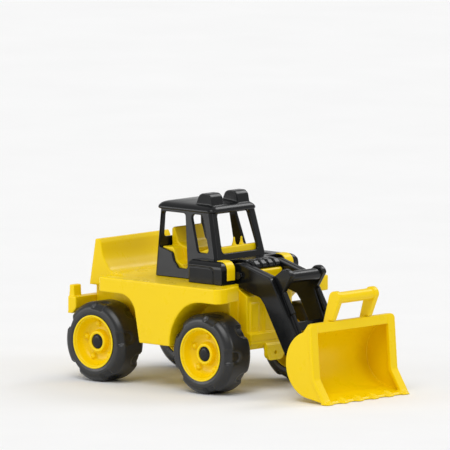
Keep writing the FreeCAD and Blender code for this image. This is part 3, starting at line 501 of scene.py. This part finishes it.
def nose_panel(low, high, foot=136, top=209):
    """A raised panel with sloping edges on the nose's front, between two sides (mm)."""
    mesh = bmesh.new()
    rings = []
    for x, inset in ((82.0, 0.0), (84.4, 0.0), (PANEL_FRONT, 3.0)):
        corners = ((low + inset, foot), (high - inset, foot), (high - inset, top - inset),
                   (low + inset, top - inset))
        rings.append([mesh.verts.new(Vector((x, y, z)) * MM) for y, z in corners])
    faces = [mesh.faces.new(rings[0]), mesh.faces.new(rings[-1][::-1])]
    for here, after in zip(rings, rings[1:]):
        for index in range(4):
            following = (index + 1) % 4
            faces.append(mesh.faces.new((here[index], after[index], after[following], here[following])))
    bmesh.ops.recalc_face_normals(mesh, faces=faces)
    return mesh


def fender(sign):
    """Fenders and skirt of one side: the side outline with both arches, and round corners in plan."""
    front_arch = [Vector(point) for point in (
        (-56, SKIRT_BOTTOM), (-54.5, 128), (-48.5, 150), (-38, 170), (-25, 187), (-9, 201.5), (8, 210.5),
        (26, 215.5), (44, FENDER_EDGE))]
    rear_arch = arc(-215.0, 166.0, 51.0, 90, 20, 12)
    ends = [Vector(point) for point in (
        (105, FENDER_EDGE), (105, FENDER_TOP), (-292, FENDER_TOP), (-292, FENDER_EDGE))]
    outline = [Vector((-152, SKIRT_BOTTOM))] + front_arch + ends + rear_arch
    plan = rounded([
        (FENDER_REAR, sign * 90), (50, sign * 90), (50, sign * HULL_HALF), (85, sign * HULL_HALF),
        (99.5, sign * 165, 30), (99.5, sign * FENDER_HALF, 17), (FENDER_REAR, sign * FENDER_HALF, 14)])
    side = prism(outline, *sorted((sign * 100.0, sign * float(FENDER_HALF))))
    return join_cut(side, prism(plan, 90.0, 270.0, "Z"), "INTERSECT")


def make_bumper(looks):
    """Rear cross bar with its lip and the two tail blocks."""
    mesh = bmesh.new()
    bar = rounded([(-398, 161), (-400, 154), (-384, 154), (-372.3, 167), (-372.3, 194), (-398, 194)])
    add_prism(mesh, bar, -178, 178)
    tail = rounded([(-397, 180), (-394, 222), (-381, 222), (-378, 180)])
    for _, sign in SIDES:
        add_prism(mesh, tail, sign * 163 - 13, sign * 163 + 13)
    make_piece("bumper_moulding", mesh, looks["yellow"], "chassis", ["rear_bumper"], soft=(1.3, 7))


# ---- cab ----------------------------------------------------------------------------------

def cab_corner(level, fore, sign, inset=0.0):
    """Corner of the cab at a height in mm: it narrows upwards and its front leans back."""
    drop = CAB_TOP - level
    half = CAB_HALF + 0.0819 * drop - inset
    front = CAB_FRONT + 0.247 * drop - inset
    rear = CAB_REAR - 0.03 * drop + inset
    return Vector((front if fore else rear, sign * half, level))


def tapered_block(low, high, inset=0.0, corner=0.0):
    """A tapered block between two heights of the cab, with round upright corners."""
    mesh = bmesh.new()
    rings = []
    for level in (low, high):
        corners = [cab_corner(level, fore, sign, inset) for fore, sign in ((0, -1), (1, -1), (1, 1), (0, 1))]
        plan = rounded([(point.x, point.y, corner) for point in corners])
        rings.append([mesh.verts.new(Vector((point.x, point.y, level)) * MM) for point in plan])
    faces = [mesh.faces.new(rings[0]), mesh.faces.new(rings[1][::-1])]
    count = len(rings[0])
    for index in range(count):
        after = (index + 1) % count
        faces.append(mesh.faces.new((rings[0][index], rings[1][index], rings[1][after], rings[0][after])))
    bmesh.ops.recalc_face_normals(mesh, faces=faces)
    return mesh


def prism(outline, low, high, axis="Y"):
    """A prism as a mesh of its own."""
    mesh = bmesh.new()
    add_prism(mesh, outline, low, high, axis)
    return mesh


def make_cab(looks):
    """Cab frame: a tapered shell whose windows and doors are cut through."""
    shell = join_cut(tapered_block(CAB_FOOT, CAB_TOP, corner=9.0), tapered_block(240.0, 412.0, 8.0, 4.0),
                     "DIFFERENCE")
    side_window = rounded([(-94, 405, 8), (-58, 405, 9), (-31, 317, 7), (-66, 317, 7)], 5)
    door = rounded([(-188, 405, 8), (-113, 405, 8), (-96, 276, 6), (-126, 276, 8), (-141, 291, 8),
                    (-148, 311, 8), (-190, 322, 4)], 5)
    windshield = rounded([(-63, 316, 9), (63, 316, 9), (57, 409, 9), (-57, 409, 9)], 5)
    rear_window = rounded([(-67, 343, 8), (67, 343, 8), (63, 405, 8), (-63, 405, 8)], 5)
    for outline, low, high, axis in ((side_window, -150, 150, "Y"), (door, -150, 150, "Y"),
                                     (windshield, -58, 30, "X"), (rear_window, -240, -170, "X")):
        shell = join_cut(shell, prism(outline, low, high, axis), "DIFFERENCE")
    make_piece("cab_frame", shell, looks["black"], "chassis", ["cab_shell"], 2.2)


def add_pillow(mesh, outline, layers):
    """Stack outlines that are moved inwards level by level: (inset, height) in mm."""
    centre = sum(outline, Vector((0, 0))) / len(outline)
    extent = Vector((max(abs(point.x - centre.x) for point in outline),
                     max(abs(point.y - centre.y) for point in outline)))
    rings = []
    for inset, level in layers:
        scale = Vector((1 - inset / extent.x, 1 - inset / extent.y))
        rings.append([
            mesh.verts.new(Vector((centre.x + (point.x - centre.x) * scale.x,
                                   centre.y + (point.y - centre.y) * scale.y, level)) * MM)
            for point in outline])
    faces = [mesh.faces.new(rings[0]), mesh.faces.new(rings[-1][::-1])]
    count = len(outline)
    for here, above in zip(rings, rings[1:]):
        for index in range(count):
            after = (index + 1) % count
            faces.append(mesh.faces.new((here[index], above[index], above[after], here[after])))
    bmesh.ops.recalc_face_normals(mesh, faces=faces)


def make_roof(looks):
    """Crowned roof with a thick round edge, blended with the two lamp humps."""
    mesh = bmesh.new()
    plan = rounded([(-207, -80.5, 16), (-25, -80.5, 16), (-25, 80.5, 16), (-207, 80.5, 16)], 8)
    crown = [(3.0, 410.0), (1.0, 411.0), (0.0, 413.5), (0.6, 416.5), (2.6, 420.0), (5.6, 423.2), (9.6, 425.8),
             (16.0, 427.8), (28.0, 429.6), (44.0, 431.0), (60.0, 431.8), (76.0, 432.2)]
    add_pillow(mesh, plan, crown)
    for _, sign in SIDES:
        lamp = rounded([(-96, 418), (-82, 449, 12), (-73, 454.6, 10), (-52, 454.6, 12), (-43, 447, 12),
                        (-37, 418)], 8)
        add_prism(mesh, lamp, sign * ROOF_LAMP_AT - 20, sign * ROOF_LAMP_AT + 20)
    make_piece("roof_moulding", mesh, looks["black"], "chassis", ["cab_roof"], soft=(1.1, 9))


def make_hood(looks):
    """Bonnet: two wings with ribbed sides and soft shoulders, and the middle behind the grille."""
    mesh = bmesh.new()
    side = rounded([(-HOOD_FRONT, 252.5), (HOOD_FRONT, 252.5), (HOOD_FRONT, HOOD_TOP, 20),
                    (-HOOD_FRONT, HOOD_TOP)], 8)
    panel = rounded([(-60, 240), (30, 240), (30, 294, 16), (-60, 294)], 8)
    raised = rounded([(-50, 252.5), (25, 252.5), (25, 290, 14), (-50, 290)], 8)
    for _, sign in SIDES:
        front = rounded([(sign * 80, 250), (sign * 80, HOOD_TOP), (sign * HOOD_HALF, HOOD_TOP, 17),
                         (sign * HOOD_HALF, 250)], 8)
        wing = prism(side, *sorted((sign * 88.0, sign * float(HOOD_HALF))))
        add_mesh(mesh, join_cut(wing, prism(front, -60, 60, "X"), "INTERSECT"))
        recess = prism(panel, *sorted((sign * 131.5, sign * 140.0)))
        mesh = join_cut(mesh, recess, "DIFFERENCE")
        add_prism(mesh, raised, *sorted((sign * 125.0, sign * 133.2)))
    middle = rounded([(10, 262), (10, HOOD_TOP), (52, HOOD_TOP, 8), (56, 298), (56, 262)], 6)
    add_prism(mesh, middle, -47, 47)
    bridge = rounded([(9.5, 301), (9.5, HOOD_TOP), (26, HOOD_TOP), (26, 301)])
    add_prism(mesh, bridge, -92, 92)
    make_piece("hood_moulding", mesh, looks["black"], "chassis", ["hood"], soft=(1.0, 5))


def make_grille(looks):
    """Middle of the bonnet's front with four broad fins rolled over its edge."""
    mesh = bmesh.new()
    plate = rounded([(40, 284.4), (77, 284.4, 2), (77, 290, 2), (71, 300, 6), (60, 303, 6), (40, 303)], 6)
    add_prism(mesh, plate, -46, 46)
    fin = rounded([(46, 300), (57, 305.8, 5), (70, 304.8, 7), (79.6, 296, 6), (80, 286.5, 2), (72, 286),
                   (60, 298)], 6)
    for y in (-34.5, -11.5, 11.5, 34.5):
        add_prism(mesh, fin, y - 7.5, y + 7.5)
    make_piece("grille_moulding", mesh, looks["black"], "chassis", ["hood_grille"], soft=(0.8, 5))


def make_headlight(side, sign, looks):
    """Yellow strip that wraps over the hood's front edge."""
    top, front, bend, thick = 307.5, 55.5, 21.0, 4.0
    x, z = front - bend, top - bend
    outer = arc(x, z, bend, 90, 0, 12)
    inner = arc(x, z, bend - thick, 0, 90, 12)
    outline = [Vector((22.0, top))] + outer + [Vector((front, 262.0)), Vector((front - thick, 262.0))] + inner
    outline += [Vector((22.0, top - thick))]
    mesh = bmesh.new()
    add_prism(mesh, outline, sign * LAMP_AT - 13.5, sign * LAMP_AT + 13.5)
    make_piece(f"headlight_strip_{side}", mesh, looks["yellow"], "chassis", [f"headlight_{side}"], 1.2)


def make_interior(looks):
    """Yellow tub of the cab: floor, dash with two levers, seat and side shelves."""
    mesh = bmesh.new()
    add_prism(mesh, rounded([(-186, 272), (-16, 272), (-16, 276), (-186, 276)]), -79, 79)
    dash = rounded([(-72, 274), (-66, 318, 6), (-30, 330, 4), (-20, 330, 4), (-14, 274)], 5)
    add_prism(mesh, dash, -78, 78)
    seat = rounded([(-182, 274), (-184, 361, 6), (-176, 368, 5), (-164, 330, 12), (-130, 318, 6),
                    (-126, 274)], 5)
    add_prism(mesh, seat, -48, 48)
    shelf = rounded([(-186, 274), (-186, 322, 4), (-150, 322, 7), (-139, 290, 8), (-122, 283, 5),
                     (-118, 274)], 5)
    for _, sign in SIDES:
        add_prism(mesh, shelf, sign * SHELF_AT - 16, sign * SHELF_AT + 16)
    lever = [(-4.0, 8.0), (0.0, 7.4), (3.0, 6.2), (7.0, 4.6), (12.0, 3.2), (17.0, 2.6), (20.0, 2.8),
             (22.0, 1.8), (22.6, 0.5)]
    for y in (5.0, 31.0):
        add_turned(mesh, lever, Vector((-34, y, 326)) * MM, (0, 0, 1), 20)
    make_piece("cab_tub", mesh, looks["yellow"], "chassis", ["cab_interior"], soft=(1.3, 4))


# ---- loader -------------------------------------------------------------------------------

def arm_root(side_top):
    """Round root of an arm behind its pivot, from below to above, followed by the arm's upper edge."""
    return rounded([(60, 246), (34, 246, 16), (34, 300, 15), (60, 300)], 8)[1:] + side_top


def arm_tip():
    """Round tip about the bucket's pivot, and the arm's lower edge back to the root, in mm."""
    return arc(224.0, 92.0, 18.0, 10, -170, 16) + rounded(
        [(206, 89), (181, 133, 10), (136, 210, 14), (124, 224, 12), (60, 246)])[1:-1]


def make_arm(side, sign, looks):
    """One cranked arm: an outer plate with a round elbow, an inner one with the ear, and a cylinder."""
    mesh = bmesh.new()
    plate = arm_root(rounded([(60, 300), (157, 273, 26), (234, 144, 20), (241, 95)], 8)[1:-1]) + arm_tip()
    ear = arm_root([Vector((148, 275.5)), Vector((156, 277.5))] + arc(189.0, 276.0, 20.5, 140, 12, 16)
                   + rounded([(206, 284), (182, 238, 8), (226, 142, 14), (241, 95)])[1:-1]) + arm_tip()
    add_prism(mesh, plate, *sorted((sign * 63.5, sign * 77.5)))
    add_prism(mesh, ear, *sorted((sign * 48.5, sign * 63.0)))
    foot, neck, end = (Vector((x, sign * 58, z)) * MM for x, z in ((184, 240), (213, 190), (238, 143)))
    reach = (neck - foot).length / MM
    add_turned(mesh, [(-2.0, 4.6), (0.0, 6.4), (reach - 2, 6.4), (reach, 5.2)], foot, neck - foot, 20)
    add_turned(mesh, [(-3.0, 4.2), ((end - neck).length / MM, 4.2)], neck, end - neck, 16)
    make_piece(f"arm_moulding_{side}", mesh, looks["black"], "loader", [f"loader_arm_{side}"], 3.0, 4)


def make_crossbar(looks):
    """Round bar between the arms' knees and the lower brace."""
    mesh = bmesh.new()
    knee = Vector((CROSSBAR_AT[0], 0, CROSSBAR_AT[1])) * MM
    add_turned(mesh, [(-CROSSBAR_HALF, 14.0), (CROSSBAR_HALF, 14.0)], knee, (0, 1, 0), 40)
    make_piece("crossbar_moulding", mesh, looks["black"], "loader", ["arm_crossbar"], 0.8)
    brace = bmesh.new()
    outline = rounded([(172, 164, 3), (182, 148, 3), (204, 148, 3), (196, 170, 3)])
    add_prism(brace, outline, -CROSSBAR_HALF, CROSSBAR_HALF)
    make_piece("brace_moulding", brace, looks["black"], "loader", ["arm_brace"], 0.8)


def bucket_profile(inset):
    """Round back of the bucket from its top to its bottom, moved inwards, in mm."""
    return arc(*BUCKET_ROUND_AT, BUCKET_RADIUS - inset, 109, 268, 32)


def make_bucket(looks):
    """Scoop: a curved sheet between two round-backed sides, with a flange, lip teeth and lugs."""
    mesh = bmesh.new()
    outer = [Vector((341, 187.5)), Vector((333, 186))] + bucket_profile(0.0) + [Vector((391.5, 0.8))]
    inner = [Vector((387, 6.5))] + bucket_profile(5.0)[::-1] + [Vector((341, 168))]
    add_prism(mesh, outer + inner, -139.5, 139.5)
    side = [Vector((341, 187)), Vector((333, 186))] + bucket_profile(0.0) + rounded(
        [(391.5, 1), (386.5, 9), (353, 58, 14), (344, 187)])
    lug = rounded([(269.5, 68), (222, 75, 16), (208, 92, 16), (222, 108, 16), (271.5, 122), (265.5, 90)], 8)
    for _, sign in SIDES:
        add_prism(mesh, side, *sorted((sign * 141.0, sign * 136.0)))
        add_mesh(mesh, bucket_flange(sign))
    top = rounded([(338, 164.5), (347.5, 164.5), (346, 187.5), (333, 187.5)])
    add_prism(mesh, top, -134, 134)
    add_lip(mesh)
    for _, sign in SIDES:
        add_prism(mesh, lug, sign * 42 - 5.5, sign * 42 + 5.5)
    make_piece("bucket_moulding", mesh, looks["yellow"], "scoop", ["bucket"], soft=(1.25, 5))


def bucket_flange(sign):
    """The broad flange down one side of the bucket's mouth, with a round top corner."""
    flange = rounded([
        (337.5, 187.5), (346, 187.5, 3), (348, 177, 8), (357, 59, 14), (388.5, 10, 6), (393, 0.8), (383, 2.0),
        (347, 56, 14), (337.5, 176)])
    inner, outer = sign * (BUCKET_HALF - 24), sign * BUCKET_HALF
    plan = rounded([(inner, -10), (outer, -10), (outer, 188.2, 13), (inner, 188.2)], 6)
    return join_cut(prism(flange, *sorted((float(outer), float(inner)))), prism(plan, 290, 420, "X"),
                    "INTERSECT")


def add_lip(mesh):
    """Claw-like teeth over the bucket's lip, each with a ridge on its middle."""
    spread = 132.5
    for number in range(BUCKET_TEETH):
        y = -spread + 2 * spread * number / (BUCKET_TEETH - 1)
        for half, tip, heights in ((13.5, 9.0, (11.5, 9.0, 2.6)), (6.5, 4.0, (14.5, 11.5, 3.4))):
            plan = [(378, y - half), (388, y - half), (399.9, y - tip), (399.9, y + tip), (388, y + half),
                    (378, y + half)]
            levels = heights + heights[::-1]
            lower = [mesh.verts.new(Vector((x, side, 0.7)) * MM) for x, side in plan]
            upper = [mesh.verts.new(Vector((x, side, z)) * MM) for (x, side), z in zip(plan, levels)]
            faces = [mesh.faces.new(lower), mesh.faces.new(upper[::-1])]
            for index in range(len(plan)):
                after = (index + 1) % len(plan)
                faces.append(mesh.faces.new((lower[index], upper[index], upper[after], lower[after])))
            bmesh.ops.recalc_face_normals(mesh, faces=faces)


def make_handle(looks):
    """Carrying handle on the bucket: two ears and a round bar."""
    mesh = bmesh.new()
    ear = rounded([(312, 167), (335, 188.4), (345.5, 188.4)]) + arc(*HANDLE_AT, 17, -8, 168, 20)
    for _, sign in SIDES:
        add_prism(mesh, ear, sign * HANDLE_EAR_AT - 7, sign * HANDLE_EAR_AT + 7)
    middle = Vector((HANDLE_AT[0], 0, HANDLE_AT[1])) * MM
    add_turned(mesh, [(-64, 13.6), (64, 13.6)], middle, (0, 1, 0), 40)
    make_piece("handle_moulding", mesh, looks["yellow"], "scoop", ["bucket_handle"], soft=(1.1, 6))


# ---- everything ---------------------------------------------------------------------------

def dress_cad_nodes(looks):
    """Every CAD node takes a finished material, and the pan also gets rounded edges."""
    finishes = {"yellow_plastic": "yellow", "black_plastic": "black", "tyre_plastic": "tyre",
                "zinc_steel": "steel"}
    slots = {item["node"]: item["material_slot"] for item in frame["record"]["subparts"]}
    for name, node in frame["nodes"].items():
        node.data.materials.clear()
        node.data.materials.append(looks[finishes[slots[name]]])
        if name == "underbody_pan":
            round_over(node, 1.2, 3)


def make_stage():
    """Plain pale floor and soft studio light."""
    mesh = bmesh.new()
    bmesh.ops.create_grid(mesh, x_segments=1, y_segments=1, size=60.0)
    data = bpy.data.meshes.new("floor")
    mesh.to_mesh(data)
    mesh.free()
    floor = bpy.data.objects.new("floor", data)
    bpy.context.scene.collection.objects.link(floor)
    nodes = Nodes("floor_paint")
    nodes.link(nodes.mix(nodes.ramp(nodes.noise(3.0), 0.3, 0.7, 0.0, 1.0), (0.90, 0.90, 0.90, 1),
                         (0.92, 0.92, 0.92, 1)), nodes.shader.inputs["Base Color"])
    nodes.shader.inputs["Roughness"].default_value = 0.9
    data.materials.append(nodes.material)
    world = bpy.data.worlds.new("studio")
    bpy.context.scene.world = world
    world.use_nodes = True
    background = world.node_tree.nodes["Background"]
    background.inputs["Color"].default_value = (1.0, 1.0, 1.0, 1)
    background.inputs["Strength"].default_value = 0.55
    add_sun("key", (0.9, -1.7, 2.6), 34.0, 1.15)
    add_sun("back", (0.10, 0.73, 0.65), 24.0, 0.60)
    add_sun("side", (-0.68, -0.72, 0.16), 26.0, 0.55)
    add_sun("front", (2.6, 0.6, 1.5), 20.0, 0.30)


def add_sun(name, direction, spread, strength):
    """A soft distant light from a direction; its spread in degrees sets how soft it is."""
    data = bpy.data.lights.new(name, "SUN")
    data.angle = math.radians(spread)
    data.energy = strength
    light = bpy.data.objects.new(name, data)
    light.rotation_euler = Vector(direction).to_track_quat("Z", "Y").to_euler()
    bpy.context.scene.collection.objects.link(light)


def make_camera():
    """A long lens from the front right, a little above."""
    azimuth, elevation, distance = math.radians(42.5), math.radians(7.0), 40.0
    target = Vector((-0.058, 0.0, 0.375))
    back = Vector((math.sin(azimuth) * math.cos(elevation), -math.cos(azimuth) * math.cos(elevation),
                   math.sin(elevation)))
    data = bpy.data.cameras.new("camera")
    data.lens = 1360.0
    data.sensor_width = 36.0
    data.clip_end = 300.0
    camera = bpy.data.objects.new("camera", data)
    camera.location = target + back * distance
    camera.rotation_euler = (-back).to_track_quat("-Z", "Y").to_euler()
    bpy.context.scene.collection.objects.link(camera)
    bpy.context.scene.camera = camera


def main():
    """Build the whole picture."""
    make_camera()
    make_stage()
    looks = make_materials()
    dress_cad_nodes(looks)
    for end, side, sign in CORNERS:
        make_wheel(end, side, sign, looks)
    make_body(looks)
    make_bumper(looks)
    make_cab(looks)
    make_roof(looks)
    make_hood(looks)
    make_grille(looks)
    make_interior(looks)
    for side, sign in SIDES:
        make_headlight(side, sign, looks)
        make_arm(side, sign, looks)
    make_crossbar(looks)
    make_bucket(looks)
    make_handle(looks)


main()
bpy.context.scene.view_settings.view_transform = "Standard"
